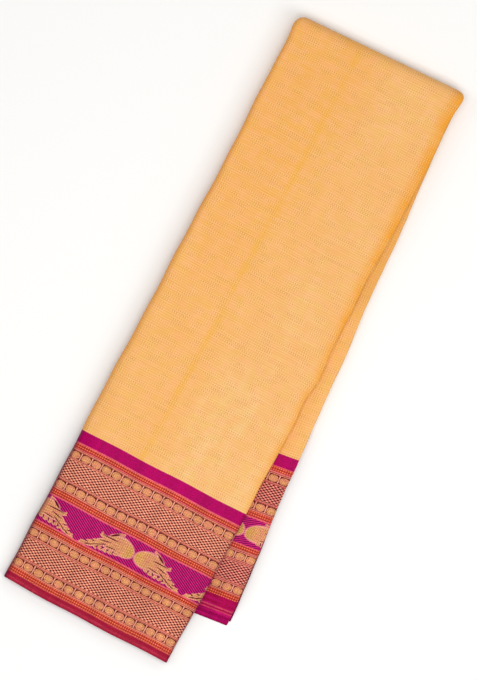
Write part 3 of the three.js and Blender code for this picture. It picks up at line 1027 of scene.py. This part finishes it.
def border_silk(name, chart, coin_start, bird_start, selvedge_colour, lattice_colour):
    """Brocaded silk: the chart's bands, with one layer of colour after another laid over them. The
    share of each is that of the place that carries it times a ramp of what it follows, which is a
    wave, a product of waves or the distance from a shape."""
    finish = new_material(name)
    tree = finish.node_tree
    along_sari, from_selvedge, place = cloth_millimetres(tree)
    colour = read_chart(tree, from_selvedge, chart, lambda _, shade: linear(shade))
    mask = pattern_masks(tree, from_selvedge, chart)

    def ramp(value, none, full, most=1.0):
        """0 where the value is at none or beyond, most where it is at full, and even between."""
        return add(tree, "MapRange", value, none, full, 0.0, most)

    thread = wave(tree, along_sari, THREAD_PITCH)
    rows = wave(tree, from_selvedge, LATTICE_PITCH / 2)
    dashes = product(tree, rows, add(tree, "MapRange", thread, -1.0, 1.0, 0.3, 1.0))
    # The cube of its wave makes the lattice's holes narrow.
    columns = add(tree, "Math", wave(tree, along_sari, 2 * THREAD_PITCH), 3.0, operation="POWER")
    holes = product(tree, columns, wave(tree, from_selvedge, LATTICE_PITCH))
    furrows = wave(tree, from_selvedge, RIB_PITCH)
    ticks = product(tree, ramp(furrows, 0.2, -0.6), ramp(thread, 0.0, 0.8))
    shot = wave(tree, from_selvedge, SHOT_PITCH, SHOT_START)
    shot = product(tree, shot, patches(tree, place, 30.0, 3.0))
    slant = add(tree, "Math", along_sari, STRIPE_SLOPE, from_selvedge, operation="MULTIPLY_ADD")
    stripes = wave(tree, slant, STRIPE_PITCH)
    bird, marks, aside = birds(tree, along_sari, from_selvedge, chart, bird_start)
    plumage = product(tree, mask["birds"], ramp(bird, 1.05, 0.96))
    feathers = patches(tree, place, 5.0, 4.0, 0.45, 0.6)
    coin, beside = coin_rows(tree, along_sari, from_selvedge, chart, coin_start)
    disc = product(tree, mask["coins"], ramp(coin, 1.1, 0.95))
    ring = product(tree, ramp(coin, 0.3, 0.42), ramp(coin, 0.62, 0.5))
    rim = product(tree, ramp(coin, 0.85, 1.0), ramp(coin, 1.35, 1.1))
    redder = patches(tree, place, 6.0, 5.0, 0.45, 0.65)
    mesh = product(tree, thread, wave(tree, from_selvedge, LATTICE_PITCH * 0.65))

    # Each layer: the place that carries it, what it follows, the values of that at which it starts
    # and is strongest, how strong, and its colour.
    for where, what, none, full, most, shade in (
        (mask["lattice"], holes, -0.02, -0.2, 1.0, lattice_colour),  # gold of the lattice
        (mask["lattice"], holes, 0.0, 0.16, 1.0, "#40060e"),  # and its holes
        (mask["lines"], rows, -0.3, -1.0, 1.0, "#f09c80"),  # pale rows
        (mask["lines"], dashes, 0.1, 0.8, 1.0, "#7a2030"),  # and dark dashes between them
        (mask["ribs"], ticks, 0.0, 1.0, 1.0, "#f88a5c"),  # bright ticks on the ribs
        (mask["ribs"], thread, -0.2, -1.0, 0.6, "#a01c20"),  # dark ones across them
        (mask["ribs"], furrows, 0.1, 1.1, 1.0, "#901a20"),  # and the furrows between
        (mask["selvedge"], shot, -0.2, 0.8, 1.0, selvedge_colour),  # uneven rows
        (mask["birds"], stripes, 0.1, 0.9, 1.0, "#dc2c7c"),  # light and dark stripes
        (mask["birds"], stripes, 0.0, -0.8, 1.0, "#64004c"),
        (mask["birds"], bird, 1.16, 1.04, 1.0, "#ee8c94"),  # the birds' fine pink outline
        (mask["birds"], bird, 1.05, 0.96, 1.0, "#e49c64"),  # and their dull gold
        (plumage, feathers, 0.0, 1.0, 1.0, "#ea8c70"),  # redder feathers here and there,
        (plumage, bird, 0.8, 0.95, 1.0, "#f4a88c"),  # pink ones near the outline
        (plumage, aside, 14.0, 4.0, 1.0, "#d4a244"),  # and an olive breast
        (plumage, mesh, 0.1, 0.9, 1.0, "#984038"),  # the weave of the gold, its gaps
        (plumage, mesh, -0.2, -1.0, 1.0, "#f8c488"),  # and its threads
        (mask["birds"], marks, 1.3, 0.9, 1.0, "#681028"),  # dark lines between the feathers
        (mask["coins"], beside, 4.9, 5.3, 1.0, "#f4a088"),  # bars between the coins
        (mask["coins"], coin, 1.1, 0.95, 1.0, "#f0a86e"),  # the coins' gold
        (mask["coins"], ring, 0.0, 1.0, 1.0, "#c87c50"),  # and a fine ring in it
        (disc, redder, 0.0, 1.0, 1.0, "#ea9070"),  # redder patches
        (mask["coins"], rim, 0.0, 1.0, 0.6, "#6c2018"),  # a dark outline
        (disc, mesh, 0.1, 1.0, 1.0, "#a04c3c"),  # and the gaps of the weave
        (1.0, along_sari, 4.5, 0.5, 0.6, "#581038"),  # painted shade where the cloth turns away
        (1.0, along_sari, 179.5, 183.5, 0.55, "#581038"),  # into its folds, at both edges
    ):
        colour = lay(tree, colour, shade, where, ramp(what, none, full, most))

    # Threads of uneven tone, and streaks along the weft that pass through every band.
    grain = add(tree, "TexNoise", sockets={"Vector": place, "Scale": 0.7, "Detail": 2.0})
    tone = add(tree, "MapRange", grain, 0.25, 0.75, 0.55, 1.2)
    streak = add(tree, "MapRange", patches(tree, place, 9.0, 120.0, 0.3, 0.7), 0.0, 1.0, 0.88, 1.1)
    uneven = product(tree, tone, streak)
    colour = add(tree, "VectorMath", colour, sockets={"Scale": uneven}, operation="SCALE")
    # The gold stands up a little, and the lattice's holes lie low.
    gold = add(tree, "Math", plumage, disc, operation="MAXIMUM")
    low = product(tree, holes, mask["lattice"])
    silk_shader(tree, colour, add(tree, "Math", gold, low, operation="SUBTRACT"), 0.4)
    return finish


front_border_silk = border_silk(
    "brocaded_silk_front_border", FRONT_CHART, coin_start=6.1, bird_start=103.6,
    selvedge_colour="#b83048", lattice_colour="#fcb292")
# The other border's pale lattice gold is darker: painted shade, as that border lies lower.
back_border_silk = border_silk(
    "brocaded_silk_back_border", BACK_CHART, coin_start=-3.3, bird_start=59.2,
    selvedge_colour="#c8146c", lattice_colour="#f4a08a")
for finish in (front_border_silk, back_border_silk):
    print(finish.name, len(finish.node_tree.nodes), "nodes")

# %% [markdown]
# ## The sheets
#
# Every stretch that shows is a sheet of its own, and so are the hidden layers of each stretch,
# whose folds and selvedges show as fine edges at the sides and ends.

# %% The stretches
leaf_used = length_along(outer_leaf)
face_start = leaf_used[np.argmax((outer_leaf[:, 0] == LEFT) & (outer_leaf[:, 2] == height_of(1)))]
TAKEN = face_start + SPINE  # so that the map reads 0 at the left edge of the front's face

FRONT_LAYERS = [before_outer, after_outer]
BACK_LAYERS = [before_outer, after_inner]
HIDDEN_END = FRONT_END - 1.0  # the hidden selvedges lie a little behind the shown one
# Each stretch has two lines: its piece, profiles, start and end (over the top, shares of the turn),
# bays, surface and finish, and then the solid that it stands for, its slot and what it rests on.
STRETCHES = [
    ("front_ground", [outer_leaf], TOP, FRONT_BORDER, 150, on_front, front_silk,
     "front_leaf_ground", "ground_silk", "front_layers_ground"),
    ("front_border", [outer_leaf], FRONT_BORDER, FRONT_END, 60, on_front, front_border_silk,
     "front_leaf_border", "border_silk", "front_layers_border"),
    ("crown", [outer_leaf], 0.0, 1.0, 40, over_top, front_silk,
     "crown_leaf", "ground_silk", "crown_layers"),
    ("under_ground", [outer_leaf], TOP, BACK_BORDER, 80, on_back, ground_silk,
     "under_leaf_ground", "ground_silk", "floor"),
    ("under_border", [outer_leaf], BACK_BORDER, BACK_END, 60, on_back, back_border_silk,
     "under_leaf_border", "border_silk", "floor"),
    ("back_ground", [inner_leaf], TOP, BACK_BORDER, 80, on_back, strip_silk,
     "back_leaf_ground", "ground_silk", "back_layers_ground"),
    ("back_border", [inner_leaf], BACK_BORDER, BACK_END, 60, on_back, back_border_silk,
     "back_leaf_border", "border_silk", "back_layers_border"),
    ("front_layers_ground", FRONT_LAYERS, TOP, FRONT_BORDER, 47, on_front, ground_silk,
     "front_core_ground", "ground_silk", "back_ground"),
    ("front_layers_border", FRONT_LAYERS, FRONT_BORDER, HIDDEN_END, 34, on_front, front_border_silk,
     "front_core_border", "border_silk", "back_border"),
    ("crown_layers", FRONT_LAYERS, 0.0, 1.0, 20, over_top, ground_silk,
     "crown_core", "ground_silk", "back_layers_ground"),
    ("back_layers_ground", BACK_LAYERS, TOP, BACK_BORDER, 34, on_back, ground_silk,
     "back_core_ground", "ground_silk", "under_ground"),
    ("back_layers_border", BACK_LAYERS, BACK_BORDER, BACK_END, 36, on_back, back_border_silk,
     "back_core_border", "border_silk", "under_border"),
]
print("the face of the front half starts %.1f mm along the outer leaf" % face_start)


# %% The sheets
def stops_between(start, end, bays):
    """Even stops, with one more close to either end, so that the sheet stays smooth up to there."""
    close = (end - start) / bays / 20
    return np.concatenate([[start], np.linspace(start + close, end - close, bays + 1), [end]])


def strips_of(profiles, stops, place):
    """Strips for several profiles, with their cloth counted on from one to the next."""
    made, taken = [], TAKEN
    for profile in profiles:
        made.append(strip(profile, stops, place, taken))
        taken -= length_along(profile)[-1]
    return made


for name, profiles, start, end, bays, place, finish, node, slot, under in STRETCHES:
    strips = strips_of(profiles, stops_between(start, end, bays), place)
    piece = sheet_piece(name, strips, finish)
    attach(piece, "root")
    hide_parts(node)
